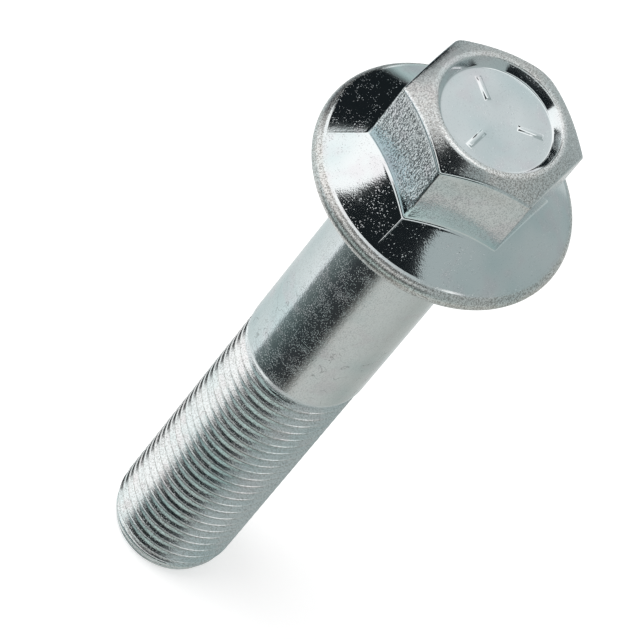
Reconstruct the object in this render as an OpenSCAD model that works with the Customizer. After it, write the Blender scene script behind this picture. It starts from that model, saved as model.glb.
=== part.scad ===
// Hexagon flange bolt with a fine thread, standing on its thread end.
// Millimetres, +Z up along the axis, origin at the centre of the thread end.

/* [Shank] */
// Length from the bearing face under the flange to the thread end
length = 60; // [40:1:100]
// Diameter of the plain shank
shank_d = 12; // [8:0.1:16]
// Radius of the fillet between the shank and the bearing face
fillet_r = 0.6; // [0.2:0.1:1.2]

/* [Thread] */
// Length of the thread measured from its end
thread_len = 31; // [20:0.5:38]
// Rise of the thread in one turn
pitch = 1.25; // [1:0.05:1.75]
// Step from the shank surface down to the thread crests
crest_drop = 0.1; // [0.05:0.01:0.2]
// Length of the chamfer at the thread end
end_chamfer = 0.8; // [0.4:0.1:1.2]
// Angle of that chamfer from the axis
end_chamfer_angle = 42; // [30:1:50]

/* [Flange] */
// Diameter of the flange
flange_d = 24.6; // [20:0.1:32]
// Radius of the rounded rim of the flange
rim_r = 1.05; // [0.6:0.05:1.4]
// Slope of the upper side of the flange
flange_angle = 33; // [20:1:38]
// Height of the fine forging ridges that run out from the corners
ridge_h = 0.08; // [0:0.01:0.15]

/* [Head] */
// Height of the head above the bearing face
head_h = 12.5; // [10:0.1:16]
// Width of the hexagon across its flats
across_flats = 14.75; // [12:0.05:18]
// Slope of the chamfer round the top of the hexagon
chamfer_angle = 32; // [20:1:40]
// Diameter of the recess in the top, at its rim
recess_d = 11.7; // [9:0.1:12]
// Depth of the recess
recess_depth = 0.9; // [0.4:0.1:1.5]
// How far the recess wall leans in from rim to floor
recess_lean = 0.4; // [0.1:0.05:0.8]
// Width of the rounded land round the recess
land_w = 0.45; // [0.2:0.05:0.8]

/* [Grade marks] */
// Number of raised bars on the recess floor
mark_count = 3; // [0:1:6]
// Length of each bar
mark_len = 2.4; // [1:0.1:3]
// Width of each bar
mark_w = 0.6; // [0.3:0.05:1]
// Height of each bar above the floor
mark_h = 0.18; // [0.1:0.01:0.4]
// Distance from the axis to the middle of each bar
mark_ring = 3.2; // [2:0.1:4]

/* [Hidden] */
round_fn = 96;
// Depth to which a raised feature is sunk into the surface that carries it
sink = 0.3;
// Room that a cutting or hidden shape has past the surface that it serves
room = 1;

shank_r = shank_d / 2;
crest_r = shank_r - crest_drop;
thread_depth = 0.6134 * pitch;
root_r = crest_r - thread_depth;
end_r = crest_r - end_chamfer * tan(end_chamfer_angle);

// One turn of the thread: widths of root, flank and crest along the axis
crest_w = pitch / 8;
flank_w = thread_depth * tan(30);
root_w = pitch - crest_w - 2 * flank_w;
turn_steps = 32;
spare_turns = 1.5;
turns = ceil(thread_len / pitch + 2 * spare_turns);
last = turns * turn_steps;
thread_base = -spare_turns * pitch;

// Shoulder where the shank runs down into the thread
shoulder_h = 1.6;
shoulder_step = 0.15;
shoulder_r = root_r + shoulder_step;

bearing_z = length;
top_z = bearing_z + head_h;
flange_r = flange_d / 2;
rim_c = flange_r - rim_r;
rim_tx = rim_c + rim_r * sin(flange_angle);
rim_tz = rim_r * (1 + cos(flange_angle));
corner_r = across_flats / 2 / cos(30);
cone_top_r = across_flats / 2 - room;
cone_top_z = rim_tz + (rim_tx - cone_top_r) * tan(flange_angle);
ridge_end_r = flange_r - rim_r;
ridge_in_z = rim_tz + (rim_tx - corner_r) * tan(flange_angle);
ridge_out_z = rim_tz + (rim_tx - ridge_end_r) * tan(flange_angle);
ridge_w = 0.16;

recess_r = recess_d / 2;
floor_r = recess_r - recess_lean;
land_r = recess_r + land_w;

// Points along the helix, four to a step: root, root, crest, crest
function rod_point(i, j) =
    let (a = 360 * i / turn_steps,
         z = thread_base + pitch * i / turn_steps,
         dz = j == 0 ? 0 : j == 1 ? root_w : j == 2 ? root_w + flank_w : root_w + flank_w + crest_w,
         r = j < 2 ? root_r : crest_r)
    [r * cos(a), r * sin(a), z + dz];

module thread_rod() {
    points = concat(
        [for (i = [0 : last], j = [0 : 3]) rod_point(i, j)],
        [[0, 0, thread_base + pitch / 2], [0, 0, thread_base + pitch * (turns + 0.5)]]);
    low = 4 * (last + 1);
    high = low + 1;
    start = last - turn_steps;
    wall = [for (i = [0 : last - 1], j = [0 : 2])
        for (t = [0, 1])
            t == 0 ? [4 * i + j, 4 * i + j + 1, 4 * i + j + 5] : [4 * i + j, 4 * i + j + 5, 4 * i + j + 4]];
    join = [for (i = [0 : start - 1])
        for (t = [0, 1])
            let (n = 4 * (i + turn_steps))
            t == 0 ? [4 * i + 3, n, n + 4] : [4 * i + 3, n + 4, 4 * i + 7]];
    floor_fan = concat(
        [for (i = [0 : turn_steps - 1]) [low, 4 * i, 4 * i + 4]],
        [[low, 4 * turn_steps, 3], [low, 3, 2], [low, 2, 1], [low, 1, 0]]);
    roof_fan = concat(
        [for (i = [start : last - 1]) [high, 4 * i + 7, 4 * i + 3]],
        [for (j = [0 : 2]) [high, 4 * last + j, 4 * last + j + 1]],
        [[high, 4 * start + 3, 4 * last]]);
    polyhedron(points = points, faces = concat(wall, join, floor_fan, roof_fan));
}

module thread_trim() {
    rotate_extrude($fn = round_fn)
        polygon([
            [0, 0],
            [end_r, 0],
            [shank_r + room, (shank_r + room - end_r) / tan(end_chamfer_angle)],
            [shank_r + room, thread_len + shoulder_h / 2],
            [0, thread_len + shoulder_h / 2]]);
}

module shank() {
    rotate_extrude($fn = round_fn)
        polygon([
            [0, thread_len],
            [shoulder_r, thread_len],
            [shank_r, thread_len + shoulder_h],
            [shank_r, bearing_z + sink],
            [0, bearing_z + sink]]);
    rotate_extrude($fn = round_fn)
        difference() {
            translate([shank_r - sink, bearing_z - fillet_r])
                square([fillet_r + sink, fillet_r + sink]);
            translate([shank_r + fillet_r, bearing_z - fillet_r])
                circle(r = fillet_r, $fn = round_fn);
        }
}

module flange() {
    translate([0, 0, bearing_z])
        rotate_extrude($fn = round_fn)
            union() {
                polygon([
                    [0, 0],
                    [rim_c, 0],
                    [rim_c, rim_r],
                    [rim_tx, rim_tz],
                    [cone_top_r, cone_top_z],
                    [0, cone_top_z]]);
                translate([rim_c, rim_r])
                    circle(r = rim_r, $fn = round_fn);
            }
}

module ridge() {
    rotate([90, 0, 0])
        translate([0, 0, -ridge_w / 2])
            linear_extrude(height = ridge_w)
                polygon([
                    [corner_r - room, bearing_z + ridge_in_z - sink],
                    [ridge_end_r, bearing_z + ridge_out_z - sink],
                    [ridge_end_r, bearing_z + ridge_out_z],
                    [corner_r, bearing_z + ridge_in_z + ridge_h],
                    [corner_r - room, bearing_z + ridge_in_z + ridge_h]]);
}

module hexagon() {
    intersection() {
        translate([0, 0, bearing_z + rim_r])
            cylinder(h = head_h - rim_r, r = corner_r, $fn = 6);
        rotate_extrude($fn = round_fn)
            polygon([
                [0, bearing_z],
                [corner_r + room, bearing_z],
                [corner_r + room, top_z - (corner_r + room - land_r) * tan(chamfer_angle)],
                [land_r, top_z],
                [0, top_z]]);
    }
}

module recess() {
    translate([0, 0, top_z - recess_depth])
        cylinder(h = recess_depth, r1 = floor_r, r2 = recess_r, $fn = round_fn);
}

module marks() {
    for (i = [0 : 1 : mark_count - 1])
        rotate([0, 0, 360 * i / mark_count])
            translate([mark_ring - mark_len / 2, -mark_w / 2, top_z - recess_depth - sink])
                cube([mark_len, mark_w, mark_h + sink]);
}

module flange_bolt() {
    color([0.72, 0.76, 0.77])
        union() {
            intersection() {
                thread_rod();
                thread_trim();
            }
            shank();
            flange();
            for (i = [0 : 5])
                rotate([0, 0, 60 * i])
                    ridge();
            difference() {
                hexagon();
                recess();
            }
            marks();
        }
}

flange_bolt();
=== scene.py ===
"""A hexagon flange bolt in bright zinc plate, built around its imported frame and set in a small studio."""

import math

import bmesh
import bpy
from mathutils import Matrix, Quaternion, Vector


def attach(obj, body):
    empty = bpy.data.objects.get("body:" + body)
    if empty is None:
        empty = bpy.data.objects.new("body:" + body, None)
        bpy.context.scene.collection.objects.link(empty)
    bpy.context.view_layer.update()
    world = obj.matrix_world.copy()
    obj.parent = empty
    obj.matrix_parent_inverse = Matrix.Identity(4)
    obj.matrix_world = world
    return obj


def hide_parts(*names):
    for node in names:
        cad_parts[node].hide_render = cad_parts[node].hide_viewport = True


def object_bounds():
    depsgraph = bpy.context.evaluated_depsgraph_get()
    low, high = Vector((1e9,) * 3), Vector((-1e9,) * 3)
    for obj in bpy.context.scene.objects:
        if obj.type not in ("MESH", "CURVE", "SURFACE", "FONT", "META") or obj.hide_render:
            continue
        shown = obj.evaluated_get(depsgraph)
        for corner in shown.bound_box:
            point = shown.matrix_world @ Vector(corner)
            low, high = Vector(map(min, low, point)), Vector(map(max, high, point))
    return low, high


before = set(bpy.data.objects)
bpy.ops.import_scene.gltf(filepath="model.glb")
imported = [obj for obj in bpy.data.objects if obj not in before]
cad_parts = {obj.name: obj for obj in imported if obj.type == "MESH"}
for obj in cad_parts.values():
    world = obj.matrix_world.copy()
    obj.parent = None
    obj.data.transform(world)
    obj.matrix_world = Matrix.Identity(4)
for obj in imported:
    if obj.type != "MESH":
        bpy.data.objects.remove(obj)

bl_info = {
    "name": "Hexagon flange bolt",
    "version": (1, 0, 0),
    "blender": (4, 5, 0),
    "location": "View3D > Sidebar > Flange bolt",
    "description": "Builds a zinc-plated hexagon flange bolt and the studio it stands in",
    "category": "Add Mesh",
}

CAD_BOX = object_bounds()
NODE = "flange_bolt"
MM = 0.001
SIXTH = math.pi / 3
FULL_TURN = 2.0 * math.pi

# Fineness of the mesh, and distances that count as nothing
STEPS_PER_TURN = 96
HEAD_COLUMNS = 216
CORNER_CROWDING = 0.86
RIM_STEPS = 18
FILLET_STEPS = 6
MERGE = 2e-6
CUT_SLACK = 1e-7

# Places of rings: heights on the shank in millimetres, then shares of the way over each surface
SHANK_RINGS = (36.0, 40.0, 45.0, 50.0, 55.0, 58.0, 59.1)
SHOULDER_CUTS = (0.0, 0.12, 0.25, 0.38, 0.5, 0.62, 0.72, 0.8, 0.87, 0.93, 0.97, 0.99)
CONE_RINGS = (0.01, 0.03, 0.1, 0.2, 0.3, 0.42, 0.55, 0.68, 0.8, 0.9, 0.97)
SIDE_RINGS = (0.02, 0.1, 0.3, 0.5, 0.7, 0.9, 0.98)
CHAMFER_RINGS = (0.06, 0.3, 0.6, 0.9, 1.0)

# Rounding of each upright edge, from the first corner on, as a multiple of the corner rounding
CORNER_FILL = (1.0, 1.0, 1.0, 8.0, 3.5, 1.0)
# Height of the other corners' ridges as a share of the first one's
FAINT_RIDGE = 0.1
# Where the seam of the crest starts and ends, as shares of the pitch from root to root
SEAM = (0.449, 0.5)

# The studio's floor, lamp and light tent, in metres
FLOOR_HALF = 6.0
FLOOR_DROP = 0.02 * MM
LAMP_SIZE = 1.2
LAMP_PLACE = (0.2, -0.7, 1.5)
TENT_RADIUS = 0.8
TENT_CENTRE = 0.045

# Glow that brings the floor up to white where it is seen
FLOOR_GLOW = 0.45
WHITE = (1.0, 1.0, 1.0)

# Tones of the tent's cloth overhead, from the left of the camera to its right
OVERHEAD_TONES = [
    (0.25, (1.1, 1.1, 1.1, 1.0)), (0.5, (0.64, 0.68, 0.69, 1.0)), (0.66, (0.39, 0.44, 0.445, 1.0)),
    (1.0, (0.37, 0.415, 0.415, 1.0))]
BAND_TONE = (0.85, 0.87, 0.87)
CROWN_TONE = (1.1, 1.1, 1.1)
FAR_TONE = (0.46, 0.54, 0.535)

# Tones of the tent's wall just below level and lower down, by direction in degrees from the camera
LEVEL_TONES = [
    (-180.0, (0.60, 0.64, 0.64)), (-150.0, (0.30, 0.34, 0.36)), (-130.0, (0.12, 0.16, 0.19)),
    (-108.0, (0.80, 0.84, 0.84)), (-84.0, (0.84, 0.88, 0.88)), (-74.0, (0.58, 0.69, 0.73)),
    (-58.0, (0.54, 0.65, 0.69)), (-45.0, (0.54, 0.66, 0.66)), (0.0, (0.66, 0.80, 0.77)),
    (30.0, (0.60, 0.70, 0.68)), (42.0, (0.43, 0.50, 0.49)), (80.0, (0.44, 0.48, 0.48)),
    (180.0, (0.60, 0.64, 0.64))]
LOW_TONES = [
    (-180.0, (0.74, 0.77, 0.77)), (-130.0, (0.63, 0.69, 0.69)), (-88.0, (0.76, 0.80, 0.80)),
    (-72.1, (0.82, 0.86, 0.87)), (-69.3, (0.24, 0.27, 0.28)), (-64.0, (0.17, 0.20, 0.20)),
    (-50.0, (0.10, 0.125, 0.125)), (-28.0, (0.04, 0.047, 0.050)), (4.0, (0.036, 0.038, 0.039)),
    (14.0, (0.20, 0.20, 0.19)), (22.0, (0.49, 0.49, 0.47)), (32.0, (0.55, 0.56, 0.54)),
    (70.0, (0.51, 0.53, 0.51)), (110.0, (0.43, 0.45, 0.43)), (140.0, (0.48, 0.50, 0.48)),
    (180.0, (0.74, 0.77, 0.77))]
UNDER_TONES = ((0.88, 0.90, 0.90), (0.50, 0.53, 0.52))


def length(name, description, millimetres):
    """A length property that is given in millimetres and kept in metres."""
    return bpy.props.FloatProperty(name=name, description=description, default=millimetres * MM,
                                   unit="LENGTH", precision=5)


def angle(name, description, degrees):
    """An angle property that is given in degrees and kept in radians."""
    return bpy.props.FloatProperty(name=name, description=description, default=math.radians(degrees),
                                   subtype="ANGLE")


def share(name, description, value, highest=1.0):
    """A plain number from nought to a highest value."""
    return bpy.props.FloatProperty(name=name, description=description, default=value,
                                   min=0.0, soft_max=highest, precision=4)


def colour(name, description, red, green, blue):
    """A linear colour."""
    return bpy.props.FloatVectorProperty(name=name, description=description, default=(red, green, blue),
                                         size=3, subtype="COLOR", min=0.0, max=1.0)


class BoltSizes(bpy.types.PropertyGroup):
    """Sizes of the bolt, from the thread end at nought upwards."""
    shank_r: length("Shank radius", "Radius of the plain shank", 6.0)
    fillet_r: length("Shank fillet", "Radius where the shank meets the bearing face", 0.6)
    bearing_z: length("Bearing face", "Height of the flange's underside above the thread end", 60.0)
    pitch: length("Pitch", "Advance of the thread in one turn", 1.25)
    crest_r: length("Crest radius", "Radius over the crests of the thread", 5.9)
    root_r: length("Root radius", "Radius at the roots of the thread", 5.133)
    blank_r: length("Blank radius", "Radius of the rolled blank at the foot of the shoulder", 5.25)
    thread_z: length("Thread length", "Height where the shoulder of the shank begins", 31.9)
    shoulder_z: length("Shoulder height", "Height where the shank has its full radius", 33.3)
    thread_phase: length("Thread start", "Height of a root in the direction of the first corner", 0.447)
    end_r: length("End radius", "Radius of the flat thread end", 5.18)
    nose_z: length("Nose length", "Length over which the thread rounds in towards its end", 3.0)
    rim_r: length("Rim rounding", "Radius of the rounded rim of the flange", 1.05)
    rim_turn: angle("Rim step", "Slope of the rounded rim where the flange's upper face begins", 16.0)
    flange_angle: angle("Flange slope", "Slope of the flange above the horizontal", 33.0)
    crease: share("Flange creases", "How far the flange leans from a cone towards six facets", 0.04)
    ridge_h: length("Ridge height", "Height of the forging ridge from the first corner", 0.05)
    ridge_w: length("Ridge width", "Width of the forging ridge from each corner", 0.055)
    flat_r: length("Half across flats", "Distance of each flat from the axis", 7.375)
    corner_round: length("Corner rounding", "Radius of the six upright edges", 0.3)
    root_round: length("Flat root", "Size of the small fillet where a flat meets the flange", 0.22)
    chamfer_angle: angle("Head chamfer", "Slope of the chamfer round the head top", 32.0)
    chamfer_round: length("Chamfer edge", "Rounding of the edge between a flat and the chamfer", 0.2)
    land_r: length("Land radius", "Outer radius of the flat ring on the head top", 6.3)
    recess_r: length("Recess radius", "Radius of the recess at the head top", 5.85)
    floor_r: length("Recess floor radius", "Radius of the floor of the recess", 5.29)
    recess_depth: length("Recess depth", "Depth of the recess in the head top", 0.9)
    bar_mid: length("Bar place", "Distance of each raised bar's middle from the axis", 3.2)
    bar_len: length("Bar length", "Length of each raised bar", 2.4)
    bar_w: length("Bar width", "Width of each raised bar", 0.6)
    bar_h: length("Bar height", "Height of each raised bar", 0.18)


class ZincFinish(bpy.types.PropertyGroup):
    """Colours and texture of the zinc plate."""
    plate: colour("Plate", "Colour of the bare bright plate", 0.84, 0.875, 0.88)
    sheen: colour("Sheen", "Blue-green colour of the passive film", 0.58, 0.73, 0.74)
    blush: colour("Blush", "Faint pink of the thinner film", 0.80, 0.76, 0.79)
    grime: colour("Grime", "Warm grey of the worn and forged edges", 0.97, 0.94, 0.89)
    pit: colour("Pits", "Colour of the dark pits", 0.10, 0.09, 0.085)
    soot: colour("Soot", "Colour of the dark grain on the worn edges", 0.22, 0.20, 0.18)
    score: colour("Scores", "Colour of the fine scores on the flats", 0.14, 0.155, 0.16)
    rough: share("Roughness", "Roughness of the bright plate", 0.07)
    grain: length("Grain", "Size of the forging grain", 0.10)
    grain_h: length("Grain height", "Height of the forging grain", 0.011)


class StudioStage(bpy.types.PropertyGroup):
    """Camera, floor, lamp and light tent."""
    azimuth: angle("Azimuth", "Direction of the camera, from the first corner of the hexagon", 5.784)
    elevation: angle("Elevation", "Height of the camera above the horizon", 49.553)
    roll: angle("Roll", "Turn of the camera about its own axis", 39.274)
    field: angle("Field of view", "Field of view across the picture", 7.010)
    distance: length("Distance", "Distance of the camera from its aim", 467.34)
    aim: bpy.props.FloatVectorProperty(name="Aim", description="Point that the camera looks at", size=3,
                                       default=(0.000085, -0.000843, 0.036913), subtype="XYZ",
                                       unit="LENGTH")
    floor: colour("Floor", "Colour of the pale floor", 0.90, 0.90, 0.90)
    dark: colour("Dark opening", "Colour of the tent's dark openings", 0.010, 0.013, 0.015)
    sky: share("Sky", "Strength of the white surroundings on dull surfaces", 0.55)
    key: bpy.props.FloatProperty(name="Key lamp", description="Power of the soft lamp", default=11.0,
                                 unit="POWER")


class Shade:
    """A shader socket. Arithmetic on it adds Math nodes, and add() makes any other node."""

    def __init__(self, tree, socket=None):
        self.tree = tree
        self.socket = socket

    def add(self, kind, settings=None, inputs=None, out=0):
        """A new node: its settings first, then the values or links of its sockets."""
        node = self.tree.nodes.new(kind)
        for name, value in (settings or {}).items():
            if name == "stops":
                self.lay_stops(node.color_ramp, value)
            else:
                setattr(node, name, value)
        for key, value in (inputs or {}).items():
            self.feed(node.inputs[key], value)
        return Shade(self.tree, node.outputs[out])

    def lay_stops(self, ramp, stops):
        first, last = ramp.elements
        first.position, first.color = stops[0]
        last.position, last.color = stops[-1]
        for place, tone in stops[1:-1]:
            ramp.elements.new(place).color = tone

    def feed(self, socket, value):
        if isinstance(value, Shade):
            self.tree.links.new(value.socket, socket)
        elif socket.type == "RGBA" and len(value) == 3:
            socket.default_value = (*value, 1.0)
        else:
            socket.default_value = value

    def other(self, output):
        """Another output of the same node."""
        return Shade(self.tree, self.socket.node.outputs[output])

    def maths(self, operation, first, second):
        return self.add("ShaderNodeMath", {"operation": operation}, {0: first, 1: second})

    def __add__(self, value):
        return self.maths("ADD", self, value)

    def __radd__(self, value):
        return self.maths("ADD", value, self)

    def __sub__(self, value):
        return self.maths("SUBTRACT", self, value)

    def __rsub__(self, value):
        return self.maths("SUBTRACT", value, self)

    def __mul__(self, value):
        return self.maths("MULTIPLY", self, value)

    def __rmul__(self, value):
        return self.maths("MULTIPLY", value, self)

    def __truediv__(self, value):
        return self.maths("DIVIDE", self, value)

    def most(self, value):
        return self.maths("MAXIMUM", self, value)

    def step(self, low, high):
        """Nought below low, one above high and smooth between."""
        return self.add("ShaderNodeMapRange", {"interpolation_type": "SMOOTHSTEP"},
                        {"Value": self, "From Min": low, "From Max": high})

    def blend(self, first, second):
        """A colour mixed from first to second by this factor."""
        return self.add("ShaderNodeMix", {"data_type": "RGBA"}, {0: self, 6: first, 7: second}, 2)

    def noise(self, place, size, detail=2.0, rough=0.5, stretch=None):
        """Noise whose lumps are about size metres wide, drawn out along an axis by stretch."""
        if stretch:
            place = self.add("ShaderNodeMapping", None, {"Vector": place, "Scale": stretch})
        return self.add("ShaderNodeTexNoise", None,
                        {"Vector": place, "Scale": 1.0 / size, "Detail": detail, "Roughness": rough})


def fresh_material(name):
    """An empty node material and its output node."""
    material = bpy.data.materials.new(name)
    material.use_nodes = True
    tree = material.node_tree
    tree.nodes.clear()
    output = tree.nodes.new("ShaderNodeOutputMaterial")
    return material, Shade(tree), output


def link_object(name, bm, material):
    """A mesh object made from a bmesh, linked to the scene."""
    mesh = bpy.data.meshes.new(name)
    bm.to_mesh(mesh)
    bm.free()
    mesh.materials.append(material)
    piece = bpy.data.objects.new(name, mesh)
    bpy.context.scene.collection.objects.link(piece)
    return piece


def smooth_step(low, high, value):
    """Nought below low, one above high and smooth between."""
    part = min(max((value - low) / (high - low), 0.0), 1.0)
    return part * part * (3.0 - 2.0 * part)


def bend(first, corner, last, count):
    """Points of a rounded corner from first to last, drawn towards the corner point."""
    points = []
    for step in range(count + 1):
        t = step / count
        u = 1.0 - t
        points.append(tuple(u * u * a + 2.0 * u * t * b + t * t * c
                            for a, b, c in zip(first, corner, last)))
    return points


def thread_profile(sizes):
    """Radius and height over one pitch from root to root. Rolling left two lips and a seam on the crest."""
    lower = [(-0.605, 0.767), (-0.52, 0.745), (-0.468, 0.707), (-0.45, 0.676), (-0.26, 0.347),
             (-0.085, 0.043)]
    first_lip = [(-0.07, 0.017), (-0.056, 0.0), (-0.046, 0.006), (-0.043, 0.015), (-0.029, 0.059),
                 (-0.024, 0.07)]
    second_lip = [(0.012, 0.072), (0.04, 0.006), (0.05, 0.0), (0.105, 0.0), (0.113, 0.006), (0.117, 0.017),
                  (0.133, 0.065), (0.137, 0.077)]
    upper = [(0.148, 0.096), (0.32, 0.394), (0.485, 0.68), (0.5, 0.706), (0.55, 0.745), (0.645, 0.767)]
    points = lower + first_lip + second_lip + upper
    start = points[0][0]
    along = sizes.pitch / (points[-1][0] - start)
    deep = (sizes.crest_r - sizes.root_r) / points[0][1]
    return [(sizes.crest_r - depth * deep, (height - start) * along) for height, depth in points]


def shoulder_radius(sizes, part):
    """Radius of the rounded shoulder, from part nought at the shank to one at the thread."""
    return sizes.shank_r - (sizes.shank_r - sizes.blank_r) * (1.0 - math.sqrt(1.0 - part * part))


def thread_radius(sizes, radius, height):
    """Radius of a thread point after the run-out into the shoulder and the rounding of the nose."""
    part = (sizes.shoulder_z - height) / (sizes.shoulder_z - sizes.thread_z)
    if part <= 0.0:
        return sizes.shank_r
    if part < 1.0:
        radius = max(radius, shoulder_radius(sizes, part))
    if height >= sizes.nose_z:
        return radius
    short = 1.0 - height / sizes.nose_z
    return min(radius, sizes.crest_r - (sizes.crest_r - sizes.end_r) * short * short)


def with_borders(faces):
    """The vertices, edges and faces of some faces, in the same order at every run."""
    verts = dict.fromkeys(vert for face in faces for vert in face.verts)
    edges = dict.fromkeys(edge for face in faces for edge in face.edges)
    return list(verts) + list(edges) + faces


def cut_shoulder(bm, sizes):
    """Level cuts through the last turns, close together where the shoulder is round."""
    for part in SHOULDER_CUTS:
        height = sizes.shoulder_z + (sizes.thread_z - sizes.shoulder_z) * part
        near = [face for face in bm.faces if abs(face.calc_center_median().z - height) < sizes.pitch]
        bmesh.ops.bisect_plane(bm, geom=with_borders(near), dist=CUT_SLACK,
                               plane_co=(0, 0, height), plane_no=(0, 0, 1))


def spin_thread(bm, sizes):
    """The threaded end, wound as one ribbon, trimmed at the flat end and cut level above the shoulder."""
    lead_in = 2
    profile = thread_profile(sizes)
    start = sizes.thread_phase - lead_in * sizes.pitch
    row = [bm.verts.new((radius, 0.0, start + height)) for radius, height in profile]
    edges = [bm.edges.new(pair) for pair in zip(row, row[1:])]
    turns = int(sizes.shoulder_z / sizes.pitch) + lead_in + 3
    bmesh.ops.spin(bm, geom=row + edges, cent=(0, 0, 0), axis=(0, 0, 1),
                   dvec=(0, 0, sizes.pitch / STEPS_PER_TURN), angle=FULL_TURN,
                   steps=STEPS_PER_TURN, use_merge=False, use_duplicate=False)
    one_turn = bm.verts[:] + bm.edges[:] + bm.faces[:]
    for turn in range(1, turns):
        copy = bmesh.ops.duplicate(bm, geom=one_turn)["geom"]
        verts = [item for item in copy if isinstance(item, bmesh.types.BMVert)]
        bmesh.ops.translate(bm, verts=verts, vec=(0, 0, turn * sizes.pitch))
    bmesh.ops.remove_doubles(bm, verts=bm.verts, dist=MERGE)
    cut_shoulder(bm, sizes)
    for vert in bm.verts:
        radius = thread_radius(sizes, math.hypot(vert.co.x, vert.co.y), vert.co.z)
        turn = math.atan2(vert.co.y, vert.co.x)
        vert.co = (radius * math.cos(turn), radius * math.sin(turn), vert.co.z)
    return trim_thread(bm, sizes)


def trim_thread(bm, sizes):
    """Cuts the thread off at both ends and closes the flat end. Gives the loop above the shoulder."""
    top = sizes.shoulder_z + 0.4 * MM
    for height, keep_above in ((0.0, True), (top, False)):
        geometry = bm.verts[:] + bm.edges[:] + bm.faces[:]
        bmesh.ops.bisect_plane(bm, geom=geometry, dist=CUT_SLACK, plane_co=(0, 0, height),
                               plane_no=(0, 0, 1), clear_inner=keep_above, clear_outer=not keep_above)
    end = [edge for edge in bm.edges if edge.is_boundary and max(v.co.z for v in edge.verts) < MERGE]
    bmesh.ops.contextual_create(bm, geom=end)
    for edge in end:
        edge.smooth = False
    level = top - MERGE
    strays = []
    for vert in bm.verts:
        if vert.co.z > level:
            column = math.atan2(vert.co.y, vert.co.x) / FULL_TURN * STEPS_PER_TURN
            if abs(column - round(column)) > 0.02:
                strays.append(vert)
    bmesh.ops.dissolve_verts(bm, verts=strays)
    return [edge for edge in bm.edges if edge.is_boundary and min(v.co.z for v in edge.verts) > level]


def next_ring(bm, edges, place):
    """Extrudes a closed loop and puts each new vertex where place(turn) gives its radius and height."""
    made = bmesh.ops.extrude_edge_only(bm, edges=edges)["geom"]
    verts = [item for item in made if isinstance(item, bmesh.types.BMVert)]
    loop = [item for item in made if isinstance(item, bmesh.types.BMEdge)]
    for vert in verts:
        turn = math.atan2(vert.co.y, vert.co.x)
        radius, height = place(turn)
        vert.co = (radius * math.cos(turn), radius * math.sin(turn), height)
    new = set(verts)
    return [edge for edge in loop if edge.verts[0] in new and edge.verts[1] in new]


def raise_shank(bm, sizes, loop):
    """The plain shank from the thread's shoulder to the bearing face."""
    top = sizes.bearing_z
    fillet = sizes.fillet_r
    rings = [(sizes.shank_r, height * MM) for height in SHANK_RINGS]
    for step in range(FILLET_STEPS + 1):
        turn = 0.5 * math.pi * step / FILLET_STEPS
        radius = sizes.shank_r + fillet * (1.0 - math.cos(turn))
        rings.append((radius, top - fillet * (1.0 - math.sin(turn))))
    rings += [(sizes.shank_r + fillet + 0.05 * MM, top), (sizes.shank_r + 1.3 * MM, top)]
    for ring in rings:
        loop = next_ring(bm, loop, lambda turn, ring=ring: ring)
    return loop


def hex_radius(sizes, turn):
    """Distance of the rounded hexagon from the axis, by direction from its first corner."""
    off_corner = abs((turn + SIXTH / 2) % SIXTH - SIXTH / 2)
    off_flat = SIXTH / 2 - off_corner
    size = sizes.corner_round * CORNER_FILL[round(turn / SIXTH) % 6]
    inner = sizes.flat_r - size
    meet = SIXTH / 2 - math.atan(inner * math.tan(SIXTH / 2) / sizes.flat_r)
    if off_corner >= meet:
        return sizes.flat_r / math.cos(off_flat)
    centre = inner / math.cos(SIXTH / 2)
    beside = centre * math.sin(off_corner)
    return centre * math.cos(off_corner) + math.sqrt(size ** 2 - beside ** 2)


def rim_centre(sizes):
    """Radius and height of the middle of the rounded rim."""
    return CAD_BOX[1].x - sizes.rim_r, sizes.bearing_z + sizes.rim_r


def flange_height(sizes, radius, turn):
    """Height of the flange's upper face, which leans from a cone towards six facets between its ridges."""
    rim_x, rim_z = rim_centre(sizes)
    outer = rim_x + sizes.rim_r * math.sin(sizes.rim_turn)
    outer_z = rim_z + sizes.rim_r * math.cos(sizes.rim_turn)
    off_corner = (turn + SIXTH / 2) % SIXTH - SIXTH / 2
    off_flat = SIXTH / 2 - abs(off_corner)
    fade = smooth_step(0.0, 3.6 * MM, outer - radius)
    facet = 1.0 + fade * sizes.crease * (math.cos(off_flat) / math.cos(SIXTH / 2) - 1.0)
    aside = radius * math.sin(off_corner) / sizes.ridge_w
    height = sizes.ridge_h if abs(turn) < SIXTH / 2 else FAINT_RIDGE * sizes.ridge_h
    ridge = smooth_step(0.0, 0.6 * MM, outer - radius) * height * math.exp(-aside * aside)
    return outer_z + (outer - radius * facet) * math.tan(sizes.flange_angle) + ridge


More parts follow.
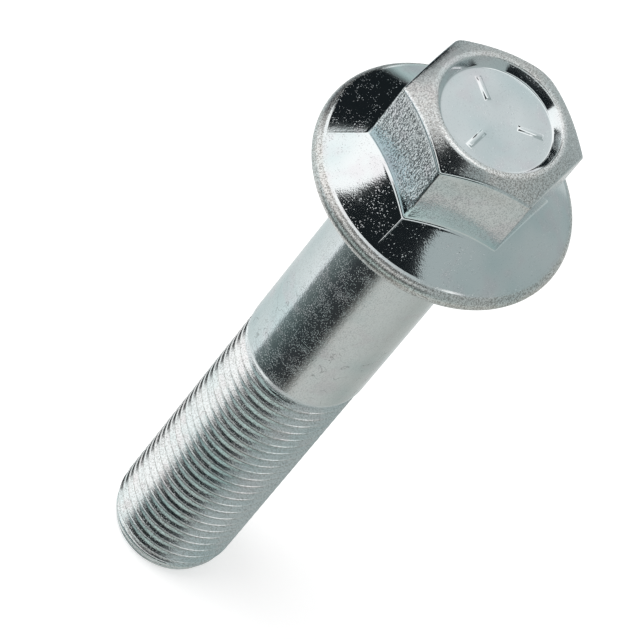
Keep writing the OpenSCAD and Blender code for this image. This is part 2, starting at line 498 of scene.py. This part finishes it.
def head_rings(sizes):
    """Functions that give radius and height by direction, from the bearing face up to the recess floor."""
    rim_x, rim_z = rim_centre(sizes)
    top = CAD_BOX[1].z
    floor_z = top - sizes.recess_depth
    outer = rim_x + sizes.rim_r * math.sin(sizes.rim_turn)
    slope = math.tan(sizes.chamfer_angle)

    def fixed(radius, height):
        return lambda turn: (radius, height)

    def cone(part):
        def place(turn):
            inner = hex_radius(sizes, turn) + sizes.root_round
            radius = outer + (inner - outer) * part
            return radius, flange_height(sizes, radius, turn)
        return place

    def root(step, count):
        def place(turn):
            flat = hex_radius(sizes, turn)
            size = sizes.root_round
            foot = flange_height(sizes, flat, turn)
            first = (flat + size, flange_height(sizes, flat + size, turn))
            return bend(first, (flat, foot), (flat, foot + size), count)[step]
        return place

    def edge_z(flat):
        return top - (flat - sizes.land_r) * slope

    def side(part):
        def place(turn):
            flat = hex_radius(sizes, turn)
            low = flange_height(sizes, flat, turn) + sizes.root_round
            high = edge_z(flat) - sizes.chamfer_round
            return flat, low + (high - low) * part
        return place

    def brow(step, count):
        def place(turn):
            flat = hex_radius(sizes, turn)
            size = sizes.chamfer_round
            last = (flat - size, edge_z(flat) + size * slope)
            return bend((flat, edge_z(flat) - size), (flat, edge_z(flat)), last, count)[step]
        return place

    def chamfer(part):
        def place(turn):
            first = hex_radius(sizes, turn) - sizes.chamfer_round
            radius = first + (sizes.land_r + 0.22 * MM - first) * part
            return radius, edge_z(radius)
        return place

    rings = [fixed(rim_x - 0.1 * MM, sizes.bearing_z)]
    arc_from = -0.5 * math.pi
    arc_to = 0.5 * math.pi - sizes.rim_turn
    for step in range(RIM_STEPS + 1):
        turn = arc_from + (arc_to - arc_from) * step / RIM_STEPS
        rings.append(fixed(rim_x + sizes.rim_r * math.cos(turn), rim_z + sizes.rim_r * math.sin(turn)))
    rings += [cone(part) for part in CONE_RINGS]
    rings += [root(step, 4) for step in range(5)]
    rings += [side(part) for part in SIDE_RINGS]
    rings += [brow(step, 4) for step in range(5)]
    rings += [chamfer(part) for part in CHAMFER_RINGS]
    land = bend((sizes.land_r + 0.2 * MM, edge_z(sizes.land_r + 0.2 * MM)), (sizes.land_r, top),
                (sizes.land_r - 0.2 * MM, top), 5)
    lean = (sizes.recess_r - sizes.floor_r) / sizes.recess_depth

    def wall(depth):
        return sizes.recess_r - depth * lean, top - depth

    lip = bend((sizes.recess_r + 0.12 * MM, top), (sizes.recess_r, top), wall(0.16 * MM), 5)
    foot = bend(wall(sizes.recess_depth - 0.1 * MM), (sizes.floor_r, floor_z),
                (sizes.floor_r - 0.1 * MM, floor_z), 5)
    walls = [wall(0.2 * MM), wall(sizes.recess_depth - 0.15 * MM)]
    rings += [fixed(*point) for point in land[1:] + lip + walls + foot]
    rings.append(fixed(sizes.floor_r - 0.25 * MM, floor_z))
    return rings


def raise_head(bm, sizes):
    """The flange, the hexagon and the recess, ring by ring. Gives the loop on the bearing face."""
    radius = sizes.shank_r + 2.0 * MM
    verts = bmesh.ops.create_circle(bm, cap_ends=False, radius=radius, segments=HEAD_COLUMNS)["verts"]
    for vert in verts:
        even = math.atan2(vert.co.y, vert.co.x)
        turn = even - CORNER_CROWDING * math.sin(6.0 * even) / 6.0
        vert.co = (radius * math.cos(turn), radius * math.sin(turn), sizes.bearing_z)
    first = list(dict.fromkeys(edge for vert in verts for edge in vert.link_edges))
    loop = first
    for place in head_rings(sizes):
        loop = next_ring(bm, loop, place)
    floor = bmesh.ops.contextual_create(bm, geom=loop)["faces"]
    raise_bars(bm, sizes, floor)
    return first


def bar_axes(third):
    """Directions along and across one of the three raised bars."""
    along = Vector((math.cos(2.0 * third * SIXTH), math.sin(2.0 * third * SIXTH), 0.0))
    return along, Vector((-along.y, along.x, 0.0))


def raise_bars(bm, sizes, floor):
    """Three plain raised bars cut from the floor of the recess."""
    bmesh.ops.inset_region(bm, faces=floor, thickness=0.15 * MM)
    inner = floor
    near = sizes.bar_mid - sizes.bar_len / 2
    far = sizes.bar_mid + sizes.bar_len / 2
    for third in range(3):
        along, across = bar_axes(third)
        cuts = [(across * sizes.bar_w / 2, across), (across * sizes.bar_w / -2, across),
                (along * near, along), (along * far, along)]
        for place, facing in cuts:
            cut = bmesh.ops.bisect_plane(bm, geom=with_borders(inner), dist=CUT_SLACK,
                                         plane_co=place, plane_no=facing)["geom"]
            inner = [item for item in cut if isinstance(item, bmesh.types.BMFace)]
    bars = []
    for third in range(3):
        along, across = bar_axes(third)
        bar = []
        for face in inner:
            middle = face.calc_center_median()
            if near < middle.dot(along) < far and abs(middle.dot(across)) < sizes.bar_w / 2:
                bar.append(face)
        if not bar:
            raise RuntimeError("a raised bar was not cut from the recess floor")
        bars.append(bar)
    for bar in bars:
        outline = outer_edges(bar)
        bmesh.ops.inset_region(bm, faces=bar, thickness=0.13 * MM, depth=sizes.bar_h, use_even_offset=True)
        bmesh.ops.bevel(bm, geom=outer_edges(bar) + outline, offset=0.06 * MM, offset_type="OFFSET",
                        segments=2, profile=0.5, affect="EDGES", material=-1, clamp_overlap=True)


def outer_edges(faces):
    """Edges that only one of the faces has."""
    return [edge for face in faces for edge in face.edges
            if sum(other in faces for other in edge.link_faces) == 1]


def seam_at(sizes, spot):
    """One in the seam between the two lips of the thread's crest, nought beside it."""
    along = (spot.z - sizes.thread_phase) / sizes.pitch - math.atan2(spot.y, spot.x) / FULL_TURN
    return 1.0 if SEAM[0] < along % 1.0 < SEAM[1] else 0.0


def hump(turn, middle, width):
    """One in the direction middle, falling away over width on both sides. Both are in degrees."""
    return math.exp(-((turn - math.radians(middle)) / math.radians(width)) ** 2)


def head_top_finish(sizes, radius, turn):
    """Finish of the recess and the worn chamfer, bright at the first corner and sooty on one side."""
    flat = hex_radius(sizes, turn)
    worn = smooth_step(sizes.recess_r - 0.2 * MM, sizes.recess_r + 0.1 * MM, radius)
    brow = smooth_step(-0.22 * MM, -0.14 * MM, radius - flat)
    across = (radius - sizes.land_r) / (flat - sizes.land_r)
    kept = hump(turn, 0.0, 24.0)
    pale = hump(turn, -95.0, 45.0)
    rubbed = hump(turn, 125.0, 40.0)
    burnt = smooth_step(0.35, 0.85, across) * hump(turn, -95.0, 32.0)
    grain = (0.7 - 0.6 * kept) * (1.0 - 0.7 * brow)
    warm = (0.65 - 0.3 * kept - 0.5 * pale - 0.35 * rubbed) * (1.0 - 0.8 * brow)
    specks = (0.25 + 0.5 * burnt) * (1.0 - kept)
    matt = (0.34 + 0.12 * pale) * (1.0 - kept) * (1.0 - brow) * (1.0 - 0.7 * burnt)
    return 0.12 + worn * grain, worn * warm, worn * specks, worn * matt


def finish_at(sizes, spot):
    """How grainy, how warm, how scored and how matt the plate is at a point."""
    radius = math.hypot(spot.x, spot.y)
    turn = math.atan2(spot.y, spot.x)
    top = CAD_BOX[1].z
    rim_x, rim_z = rim_centre(sizes)
    if spot.z < sizes.thread_z:
        return 0.42, 0.25 + 0.6 * seam_at(sizes, spot), 0.0, 0.06
    if spot.z < sizes.bearing_z - 0.5 * MM:
        return 0.7, 0.0, 0.1, 0.0
    if spot.z < sizes.bearing_z + 0.05 * MM:
        return 0.6, 0.2, 0.0, 0.1
    if radius > rim_x + 0.2 * MM:
        rim = 1.0 - smooth_step(rim_z + 0.84 * sizes.rim_r, rim_z + 0.91 * sizes.rim_r, spot.z)
        return 0.25 + 0.45 * rim, 0.1 + 0.55 * rim, 0.0, 0.22 * rim
    if spot.z > top - 1.5 * MM and radius < sizes.flat_r + 1.0 * MM:
        return head_top_finish(sizes, radius, turn)
    warm = smooth_step(top - 2.2 * MM, top - 1.4 * MM, spot.z)
    side = smooth_step(0.3 * MM, 0.6 * MM, spot.z - flange_height(sizes, radius, turn))
    scored = 1.0 if math.sin(3.0 * turn) < 0.0 else 0.25
    return 0.25 + 0.4 * side, 0.4 * warm, side * scored, 0.0


def split_place(shade, place):
    """The three numbers of a place."""
    parts = shade.add("ShaderNodeSeparateXYZ", None, {"Vector": place})
    return parts, parts.other("Y"), parts.other("Z")


def hair_lines(shade, place):
    """Fine wandering scratches on the shank near the thread."""
    wander = shade.noise(place, 1.1 * MM).other("Color")
    moved = shade.add("ShaderNodeVectorMath", {"operation": "MULTIPLY_ADD"},
                      {0: wander, 1: (1.6 * MM,) * 3, 2: place})
    cells = shade.add("ShaderNodeTexVoronoi", {"feature": "DISTANCE_TO_EDGE"},
                      {"Vector": moved, "Scale": 1.0 / (1.7 * MM)})
    line = 1.0 - cells.step(0.008, 0.026)
    height = split_place(shade, place)[2]
    zone = height.step(33.0 * MM, 33.6 * MM) * (1.0 - height.step(38.0 * MM, 50.0 * MM))
    return line * zone * shade.noise(place, 1.1 * MM, 1.0).step(0.51, 0.60)


def plate_tone(shade, finish, place, warm):
    """Colour of the plate: its film, a faint blush, and grime and soot where it is warm."""
    film = shade.noise(place, 7.0 * MM)
    patch = shade.noise(place, 2.6 * MM, 2.0, 0.55)
    dirt = shade.noise(place, finish.grain * 1.6, 1.0).step(0.63, 0.72)
    mottle = shade.noise(place, finish.grain * 1.8, 2.0, 0.6).step(0.53, 0.63)
    sand = shade.noise(place, finish.grain * 1.45, 1.0, 0.6).step(0.51, 0.58)
    tone = (film.step(0.40, 0.68) * 0.5).blend(tuple(finish.plate), tuple(finish.sheen))
    tone = (patch.step(0.50, 0.70) * 0.5).blend(tone, tuple(finish.blush))
    soil = warm * (0.45 + 0.5 * patch.step(0.35, 0.7))
    tone = soil.blend(tone, tuple(finish.grime))
    tone = (dirt * (0.10 + 0.6 * warm)).blend(tone, tuple(finish.pit))
    tone = (mottle * warm * 0.5).blend(tone, tuple(finish.soot))
    return (sand * warm * 0.85).blend(tone, tuple(finish.soot))


def zinc_material(finish):
    """Bright zinc plate over forged steel. The finish attribute says how it differs from place to place."""
    material, shade, output = fresh_material("zinc_plate")
    place = shade.add("ShaderNodeTexCoord").other("Object")
    marks = shade.add("ShaderNodeAttribute", {"attribute_name": "finish"})
    split = shade.add("ShaderNodeSeparateColor", None, {"Color": marks.other("Color")})
    grainy = split.other("Red")
    warm = split.other("Green")
    scored = split.other("Blue")
    matt = marks.other("Alpha")

    fine = shade.noise(place, finish.grain, 0.0)
    lumps = shade.noise(place, finish.grain * 2.2, 1.0)
    streaks = shade.noise(place, finish.grain * 1.6, 1.0, 0.5, (1.0, 1.0, 0.25))
    speck = shade.noise(place, finish.grain * 1.15, 0.0)
    cluster = shade.noise(place, 1.3 * MM)
    swell = shade.noise(place, 4.0 * MM, 1.0)
    pits = (speck + 0.6 * cluster + 0.243 * grainy).step(1.111, 1.22)
    score = (0.6 * speck + 0.4 * streaks).step(0.495, 0.55)
    hair = hair_lines(shade, place)

    tone = plate_tone(shade, finish, place, warm)
    tone = (score * scored * 0.9).blend(tone, tuple(finish.score))
    tone = (hair * 0.38).blend(tone, tuple(finish.pit))
    rough = finish.rough + 0.05 * warm + matt
    height = (fine - 0.5) * grainy * 0.5 + pits * 0.75
    height = height + (lumps - 0.5) * (grainy * 0.6 + scored * 1.5)
    height = height + (streaks - 0.5) * scored * 1.6 + swell * 1.2 - hair * 0.5
    bump = shade.add("ShaderNodeBump", None,
                     {"Strength": 1.0, "Distance": finish.grain_h, "Height": height})
    plate = shade.add("ShaderNodeBsdfPrincipled", None,
                      {"Base Color": tone, "Metallic": 1.0, "Roughness": rough, "Normal": bump})
    shade.feed(output.inputs["Surface"], plate)
    return material


class FLANGEBOLT_OT_body(bpy.types.Operator):
    """Builds the bolt's body and plates it with zinc"""
    bl_idname = "flange_bolt.body"
    bl_label = "Build the bolt"

    def execute(self, context):
        sizes = context.scene.bolt_sizes
        bm = bmesh.new()
        marks = bm.verts.layers.float_color.new("finish")
        shank_loop = raise_shank(bm, sizes, spin_thread(bm, sizes))
        head_loop = raise_head(bm, sizes)
        bmesh.ops.triangle_fill(bm, use_beauty=True, normal=(0, 0, -1), edges=shank_loop + head_loop)
        bmesh.ops.remove_doubles(bm, verts=bm.verts, dist=MERGE)
        bmesh.ops.recalc_face_normals(bm, faces=bm.faces)
        if any(edge.is_boundary for edge in bm.edges):
            raise RuntimeError("the bolt's skin is not closed")
        for vert in bm.verts:
            vert[marks] = finish_at(sizes, vert.co)
        for face in bm.faces:
            face.smooth = True
        body = link_object("bolt_body", bm, zinc_material(context.scene.zinc_finish))
        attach(body, "root")
        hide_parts(NODE)
        return {"FINISHED"}


def seen_rays(shade):
    """One for rays from the camera, off a mirror-like surface or through glass, nought for others."""
    path = shade.add("ShaderNodeLightPath")
    return path.most(path.other("Is Glossy Ray")).most(path.other("Is Transmission Ray"))


def floor_material(floor):
    """Pale floor that shows white and keeps the shadow."""
    material, shade, output = fresh_material("studio_floor")
    dull = shade.add("ShaderNodeBsdfDiffuse", None, {"Color": tuple(floor)})
    strength = seen_rays(shade) * FLOOR_GLOW
    glow = shade.add("ShaderNodeEmission", None, {"Color": WHITE, "Strength": strength})
    both = shade.add("ShaderNodeAddShader", None, {0: dull, 1: glow})
    shade.feed(output.inputs["Surface"], both)
    return material


def tent_direction(shade, azimuth):
    """Direction from the tent's middle, turned so that its first axis lies in the camera's azimuth."""
    place = shade.add("ShaderNodeTexCoord").other("Object")
    moved = shade.add("ShaderNodeVectorMath", {"operation": "SUBTRACT"},
                      {0: place, 1: (0.0, 0.0, TENT_CENTRE)})
    turned = shade.add("ShaderNodeVectorRotate", {"rotation_type": "Z_AXIS"},
                       {"Vector": moved, "Angle": -azimuth})
    return shade.add("ShaderNodeVectorMath", {"operation": "NORMALIZE"}, {0: turned})


def window(value, opens, closes, edge):
    """One between two angles in degrees, with soft edges."""
    rise = value.step(math.radians(opens - edge), math.radians(opens + edge))
    fall = value.step(math.radians(closes - edge), math.radians(closes + edge))
    return rise * (1.0 - fall)


def bearing_ramp(shade, bearing, stops):
    """A colour by direction from the camera's azimuth, from stops in degrees."""
    part = bearing / FULL_TURN + 0.5
    laid = [((degrees + 180.0) / 360.0, (*tone, 1.0)) for degrees, tone in stops]
    return shade.add("ShaderNodeValToRGB", {"stops": laid}, {"Fac": part})


def overhead_tone(shade, stage, ahead, aside, up, bearing):
    """Cloth that is white on the left and greyer to the right, with dark openings in front and behind."""
    tone = shade.add("ShaderNodeValToRGB", {"stops": OVERHEAD_TONES}, {"Fac": aside * 0.5 + 0.5})
    front = (ahead - 0.336 * up - 0.184 * aside).step(-0.012, 0.012)
    low = window(bearing, -54.0, 38.0, 2.0) * (1.0 - up.step(0.36, 0.42))
    tone = (front * low.most(up.step(0.66, 0.78))).blend(tone, tuple(stage.dark))
    band = up.step(0.40, 0.45) * (1.0 - up.step(0.62, 0.68)) * window(bearing, -60.0, 40.0, 4.0)
    tone = band.blend(tone, BAND_TONE)
    crown = up.step(0.86, 0.90) * (1.0 - ahead.step(0.0, 0.1))
    tone = crown.blend(tone, CROWN_TONE)
    far = aside.step(-0.47, -0.43) * (1.0 - aside.step(-0.2, 0.0)) * (1.0 - ahead.step(-0.5, -0.3))
    tone = (far * (1.0 - up.step(0.10, 0.18))).blend(tone, FAR_TONE)
    behind = window(bearing, -154.6, -111.0, 2.5) * (1.0 - up.step(0.50, 0.57))
    return behind.blend(tone, tuple(stage.dark))


def tent_material(stage):
    """A light tent round the bolt, painted by direction from its middle."""
    material, shade, output = fresh_material("light_tent")
    ahead, aside, up = split_place(shade, tent_direction(shade, stage.azimuth))
    bearing = shade.maths("ARCTAN2", aside, ahead)
    overhead = overhead_tone(shade, stage, ahead, aside, up, bearing)
    level = bearing_ramp(shade, bearing, LEVEL_TONES)
    low = bearing_ramp(shade, bearing, LOW_TONES)
    under = aside.step(-0.25, -0.05).blend(*UNDER_TONES)
    tone = up.step(-0.105, -0.07).blend(level, overhead)
    tone = up.step(-0.43, -0.35).blend(low, tone)
    tone = up.step(-0.89, -0.83).blend(under, tone)
    glow = shade.add("ShaderNodeEmission", None, {"Color": tone, "Strength": 1.0})
    shade.feed(output.inputs["Surface"], glow)
    return material


class FLANGEBOLT_OT_stage(bpy.types.Operator):
    """Sets the camera, the floor, the surroundings, the lamp and the light tent"""
    bl_idname = "flange_bolt.stage"
    bl_label = "Set the studio"

    def execute(self, context):
        scene = context.scene
        stage = scene.studio_stage
        self.set_camera(scene, stage)
        self.set_floor(stage)
        self.set_sky(scene, stage)
        self.set_lamp(scene, stage)
        self.set_tent(stage)
        scene.view_settings.view_transform = "Standard"
        return {"FINISHED"}

    def set_camera(self, scene, stage):
        """The camera, turned about its own axis by the roll."""
        back = Vector((math.cos(stage.elevation) * math.cos(stage.azimuth),
                       math.cos(stage.elevation) * math.sin(stage.azimuth), math.sin(stage.elevation)))
        camera = bpy.data.objects.new("studio_camera", bpy.data.cameras.new("studio_camera"))
        camera.data.angle = stage.field
        camera.data.clip_start = 0.01
        camera.data.clip_end = 20.0
        camera.location = Vector(stage.aim) + back * stage.distance
        level = (-back).to_track_quat("-Z", "Y")
        camera.rotation_euler = (level @ Quaternion((0, 0, 1), stage.roll)).to_euler()
        scene.collection.objects.link(camera)
        scene.camera = camera

    def set_floor(self, stage):
        """The floor, which mirror-like metal does not see, because the tent goes on under it."""
        bm = bmesh.new()
        bmesh.ops.create_grid(bm, x_segments=1, y_segments=1, size=FLOOR_HALF)
        bmesh.ops.translate(bm, verts=bm.verts, vec=(0.0, 0.0, -FLOOR_DROP))
        floor = link_object("studio_floor", bm, floor_material(stage.floor))
        floor.visible_glossy = False

    def set_sky(self, scene, stage):
        """White surroundings, dimmer for the light that they throw than for the eye."""
        world = bpy.data.worlds.new("studio_sky")
        world.use_nodes = True
        tree = world.node_tree
        tree.nodes.clear()
        shade = Shade(tree)
        strength = stage.sky + (1.0 - stage.sky) * seen_rays(shade)
        sky = shade.add("ShaderNodeBackground", None, {"Color": WHITE, "Strength": strength})
        output = tree.nodes.new("ShaderNodeOutputWorld")
        shade.feed(output.inputs["Surface"], sky)
        scene.world = world

    def set_lamp(self, scene, stage):
        """The soft lamp that throws the shadow. The metal mirrors the tent and not the lamp."""
        data = bpy.data.lights.new("key_lamp", "AREA")
        data.shape = "DISK"
        data.size = LAMP_SIZE
        data.energy = stage.key
        lamp = bpy.data.objects.new("key_lamp", data)
        lamp.location = LAMP_PLACE
        lamp.rotation_euler = (-lamp.location).to_track_quat("-Z", "Y").to_euler()
        lamp.visible_glossy = False
        lamp.visible_camera = False
        scene.collection.objects.link(lamp)

    def set_tent(self, stage):
        """The light tent, which only mirror-like metal sees."""
        bm = bmesh.new()
        bmesh.ops.create_uvsphere(bm, u_segments=96, v_segments=48, radius=TENT_RADIUS)
        bmesh.ops.translate(bm, verts=bm.verts, vec=(0.0, 0.0, TENT_CENTRE))
        tent = link_object("light_tent", bm, tent_material(stage))
        tent.visible_camera = False
        tent.visible_diffuse = False
        tent.visible_shadow = False
        tent.visible_transmission = False
        tent.visible_volume_scatter = False


class FLANGEBOLT_PT_panel(bpy.types.Panel):
    """Sizes, finish and stage of the flange bolt"""
    bl_idname = "FLANGEBOLT_PT_panel"
    bl_label = "Flange bolt"
    bl_space_type = "VIEW_3D"
    bl_region_type = "UI"
    bl_category = "Flange bolt"

    def draw(self, context):
        layout = self.layout
        for group in (context.scene.bolt_sizes, context.scene.zinc_finish, context.scene.studio_stage):
            box = layout.box()
            for name in group.__annotations__:
                box.prop(group, name)
        layout.operator(FLANGEBOLT_OT_body.bl_idname)
        layout.operator(FLANGEBOLT_OT_stage.bl_idname)


CLASSES = (BoltSizes, ZincFinish, StudioStage, FLANGEBOLT_OT_body, FLANGEBOLT_OT_stage, FLANGEBOLT_PT_panel)


def register():
    for item in CLASSES:
        bpy.utils.register_class(item)
    bpy.types.Scene.bolt_sizes = bpy.props.PointerProperty(type=BoltSizes)
    bpy.types.Scene.zinc_finish = bpy.props.PointerProperty(type=ZincFinish)
    bpy.types.Scene.studio_stage = bpy.props.PointerProperty(type=StudioStage)


def unregister():
    del bpy.types.Scene.studio_stage
    del bpy.types.Scene.zinc_finish
    del bpy.types.Scene.bolt_sizes
    for item in reversed(CLASSES):
        bpy.utils.unregister_class(item)


def main():
    """Builds the stage and the bolt."""
    register()
    bpy.ops.flange_bolt.stage()
    bpy.ops.flange_bolt.body()


if __name__ == "__main__":
    main()
